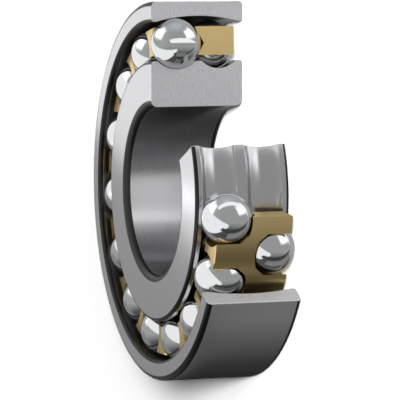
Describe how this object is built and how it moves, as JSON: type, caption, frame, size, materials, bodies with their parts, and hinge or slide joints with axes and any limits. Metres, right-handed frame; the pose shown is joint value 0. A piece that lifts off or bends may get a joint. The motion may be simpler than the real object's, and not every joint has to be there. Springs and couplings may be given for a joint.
{
  "type": "self-aligning ball bearing",
  "caption": "Double-row self-aligning ball bearing with a machined brass cage, partly cut away to show the balls, the grooved inner ring and the spherical raceway.",
  "frame": {"origin": "centre of the bore, half way between the faces, which is also the centre of the spherical raceway", "axes": "+Z along the bearing's axis, towards its front face; +Y towards 12 o'clock in the picture, where all the cuts of the cutaway start; the window lies on the +X side"},
  "size_m": [0.0858, 0.09, 0.023],
  "materials": {
    "ring_steel": "fine ground",
    "ball_steel": "lapped mirror",
    "cage_brass": "machined satin"
  },
  "bodies": {
    "outer_ring": {"outer_ring": "ring_steel"},
    "front_ball_01": {"front_ball_01": "ball_steel"},
    "cage": {"cage": "cage_brass"},
    "inner_ring": {"inner_ring": "ring_steel"},
    "front_ball_02": {"front_ball_02": "ball_steel"},
    "front_ball_03": {"front_ball_03": "ball_steel"},
    "front_ball_04": {"front_ball_04": "ball_steel"},
    "front_ball_05": {"front_ball_05": "ball_steel"},
    "front_ball_06": {"front_ball_06": "ball_steel"},
    "front_ball_07": {"front_ball_07": "ball_steel"},
    "front_ball_08": {"front_ball_08": "ball_steel"},
    "front_ball_09": {"front_ball_09": "ball_steel"},
    "front_ball_10": {"front_ball_10": "ball_steel"},
    "front_ball_11": {"front_ball_11": "ball_steel"},
    "front_ball_12": {"front_ball_12": "ball_steel"},
    "rear_ball_01": {"rear_ball_01": "ball_steel"},
    "rear_ball_02": {"rear_ball_02": "ball_steel"},
    "rear_ball_03": {"rear_ball_03": "ball_steel"},
    "rear_ball_04": {"rear_ball_04": "ball_steel"},
    "rear_ball_05": {"rear_ball_05": "ball_steel"},
    "rear_ball_06": {"rear_ball_06": "ball_steel"},
    "rear_ball_07": {"rear_ball_07": "ball_steel"},
    "rear_ball_08": {"rear_ball_08": "ball_steel"},
    "rear_ball_09": {"rear_ball_09": "ball_steel"},
    "rear_ball_10": {"rear_ball_10": "ball_steel"},
    "rear_ball_11": {"rear_ball_11": "ball_steel"}
  },
  "joints": [
    {"name": "cage_orbit", "type": "hinge", "parent": "outer_ring", "child": "front_ball_01", "pos_m": [0, 0, 0], "axis": [0, 0, 1], "continuous": true},
    {"name": "self_alignment", "type": "hinge", "parent": "front_ball_01", "child": "cage", "pos_m": [0, 0, 0], "axis": [0, 0.9881, 0.1537], "range_deg": [-3, 3]},
    {"name": "inner_ring_spin", "type": "hinge", "parent": "cage", "child": "inner_ring", "pos_m": [0, 0, 0], "axis": [0, 0, 1], "continuous": true},
    {"name": "front_ball_02_roll", "type": "hinge", "parent": "cage", "child": "front_ball_02", "pos_m": [-0.01427, 0.03205, 0.00546], "axis": [0.0625, -0.1404, 0.9881], "continuous": true},
    {"name": "front_ball_03_roll", "type": "hinge", "parent": "cage", "child": "front_ball_03", "pos_m": [-0.02607, 0.02348, 0.00546], "axis": [0.1142, -0.1028, 0.9881], "continuous": true},
    {"name": "front_ball_04_roll", "type": "hinge", "parent": "cage", "child": "front_ball_04", "pos_m": [-0.03337, 0.01084, 0.00546], "axis": [0.1461, -0.0475, 0.9881], "continuous": true},
    {"name": "front_ball_05_roll", "type": "hinge", "parent": "cage", "child": "front_ball_05", "pos_m": [-0.03489, -0.00367, 0.00546], "axis": [0.1528, 0.0161, 0.9881], "continuous": true},
    {"name": "front_ball_06_roll", "type": "hinge", "parent": "cage", "child": "front_ball_06", "pos_m": [-0.03038, -0.01754, 0.00546], "axis": [0.1331, 0.0768, 0.9881], "continuous": true},
    {"name": "front_ball_07_roll", "type": "hinge", "parent": "cage", "child": "front_ball_07", "pos_m": [-0.02062, -0.02838, 0.00546], "axis": [0.0903, 0.1243, 0.9881], "continuous": true},
    {"name": "front_ball_08_roll", "type": "hinge", "parent": "cage", "child": "front_ball_08", "pos_m": [-0.00729, -0.03432, 0.00546], "axis": [0.0319, 0.1503, 0.9881], "continuous": true},
    {"name": "front_ball_09_roll", "type": "hinge", "parent": "cage", "child": "front_ball_09", "pos_m": [0.00729, -0.03432, 0.00546], "axis": [-0.0319, 0.1503, 0.9881], "continuous": true},
    {"name": "front_ball_10_roll", "type": "hinge", "parent": "cage", "child": "front_ball_10", "pos_m": [0.02062, -0.02838, 0.00546], "axis": [-0.0903, 0.1243, 0.9881], "continuous": true},
    {"name": "front_ball_11_roll", "type": "hinge", "parent": "cage", "child": "front_ball_11", "pos_m": [0.03038, -0.01754, 0.00546], "axis": [-0.1331, 0.0768, 0.9881], "continuous": true},
    {"name": "front_ball_12_roll", "type": "hinge", "parent": "cage", "child": "front_ball_12", "pos_m": [0.03489, -0.00367, 0.00546], "axis": [-0.1528, 0.0161, 0.9881], "continuous": true},
    {"name": "rear_ball_01_roll", "type": "hinge", "parent": "cage", "child": "rear_ball_01", "pos_m": [-0.00729, 0.03432, -0.00546], "axis": [-0.0319, 0.1503, 0.9881], "continuous": true},
    {"name": "rear_ball_02_roll", "type": "hinge", "parent": "cage", "child": "rear_ball_02", "pos_m": [-0.02062, 0.02838, -0.00546], "axis": [-0.0903, 0.1243, 0.9881], "continuous": true},
    {"name": "rear_ball_03_roll", "type": "hinge", "parent": "cage", "child": "rear_ball_03", "pos_m": [-0.03038, 0.01754, -0.00546], "axis": [-0.1331, 0.0768, 0.9881], "continuous": true},
    {"name": "rear_ball_04_roll", "type": "hinge", "parent": "cage", "child": "rear_ball_04", "pos_m": [-0.03489, 0.00367, -0.00546], "axis": [-0.1528, 0.0161, 0.9881], "continuous": true},
    {"name": "rear_ball_05_roll", "type": "hinge", "parent": "cage", "child": "rear_ball_05", "pos_m": [-0.03337, -0.01084, -0.00546], "axis": [-0.1461, -0.0475, 0.9881], "continuous": true},
    {"name": "rear_ball_06_roll", "type": "hinge", "parent": "cage", "child": "rear_ball_06", "pos_m": [-0.02607, -0.02348, -0.00546], "axis": [-0.1142, -0.1028, 0.9881], "continuous": true},
    {"name": "rear_ball_07_roll", "type": "hinge", "parent": "cage", "child": "rear_ball_07", "pos_m": [-0.01427, -0.03205, -0.00546], "axis": [-0.0625, -0.1404, 0.9881], "continuous": true},
    {"name": "rear_ball_08_roll", "type": "hinge", "parent": "cage", "child": "rear_ball_08", "pos_m": [0, -0.03508, -0.00546], "axis": [0, -0.1537, 0.9881], "continuous": true},
    {"name": "rear_ball_09_roll", "type": "hinge", "parent": "cage", "child": "rear_ball_09", "pos_m": [0.01427, -0.03205, -0.00546], "axis": [0.0625, -0.1404, 0.9881], "continuous": true},
    {"name": "rear_ball_10_roll", "type": "hinge", "parent": "cage", "child": "rear_ball_10", "pos_m": [0.02607, -0.02348, -0.00546], "axis": [0.1142, -0.1028, 0.9881], "continuous": true},
    {"name": "rear_ball_11_roll", "type": "hinge", "parent": "cage", "child": "rear_ball_11", "pos_m": [0.03337, -0.01084, -0.00546], "axis": [0.1461, -0.0475, 0.9881], "continuous": true}
  ],
  "couplings": [
    {"joint": "inner_ring_spin", "follows": "cage_orbit", "ratio": 1.4029},
    {"joint": "front_ball_02_roll", "follows": "cage_orbit", "ratio": -6.8815},
    {"joint": "front_ball_03_roll", "follows": "cage_orbit", "ratio": -6.8815},
    {"joint": "front_ball_04_roll", "follows": "cage_orbit", "ratio": -6.8815},
    {"joint": "front_ball_05_roll", "follows": "cage_orbit", "ratio": -6.8815},
    {"joint": "front_ball_06_roll", "follows": "cage_orbit", "ratio": -6.8815},
    {"joint": "front_ball_07_roll", "follows": "cage_orbit", "ratio": -6.8815},
    {"joint": "front_ball_08_roll", "follows": "cage_orbit", "ratio": -6.8815},
    {"joint": "front_ball_09_roll", "follows": "cage_orbit", "ratio": -6.8815},
    {"joint": "front_ball_10_roll", "follows": "cage_orbit", "ratio": -6.8815},
    {"joint": "front_ball_11_roll", "follows": "cage_orbit", "ratio": -6.8815},
    {"joint": "front_ball_12_roll", "follows": "cage_orbit", "ratio": -6.8815},
    {"joint": "rear_ball_01_roll", "follows": "cage_orbit", "ratio": -6.8815},
    {"joint": "rear_ball_02_roll", "follows": "cage_orbit", "ratio": -6.8815},
    {"joint": "rear_ball_03_roll", "follows": "cage_orbit", "ratio": -6.8815},
    {"joint": "rear_ball_04_roll", "follows": "cage_orbit", "ratio": -6.8815},
    {"joint": "rear_ball_05_roll", "follows": "cage_orbit", "ratio": -6.8815},
    {"joint": "rear_ball_06_roll", "follows": "cage_orbit", "ratio": -6.8815},
    {"joint": "rear_ball_07_roll", "follows": "cage_orbit", "ratio": -6.8815},
    {"joint": "rear_ball_08_roll", "follows": "cage_orbit", "ratio": -6.8815},
    {"joint": "rear_ball_09_roll", "follows": "cage_orbit", "ratio": -6.8815},
    {"joint": "rear_ball_10_roll", "follows": "cage_orbit", "ratio": -6.8815},
    {"joint": "rear_ball_11_roll", "follows": "cage_orbit", "ratio": -6.8815}
  ]
}
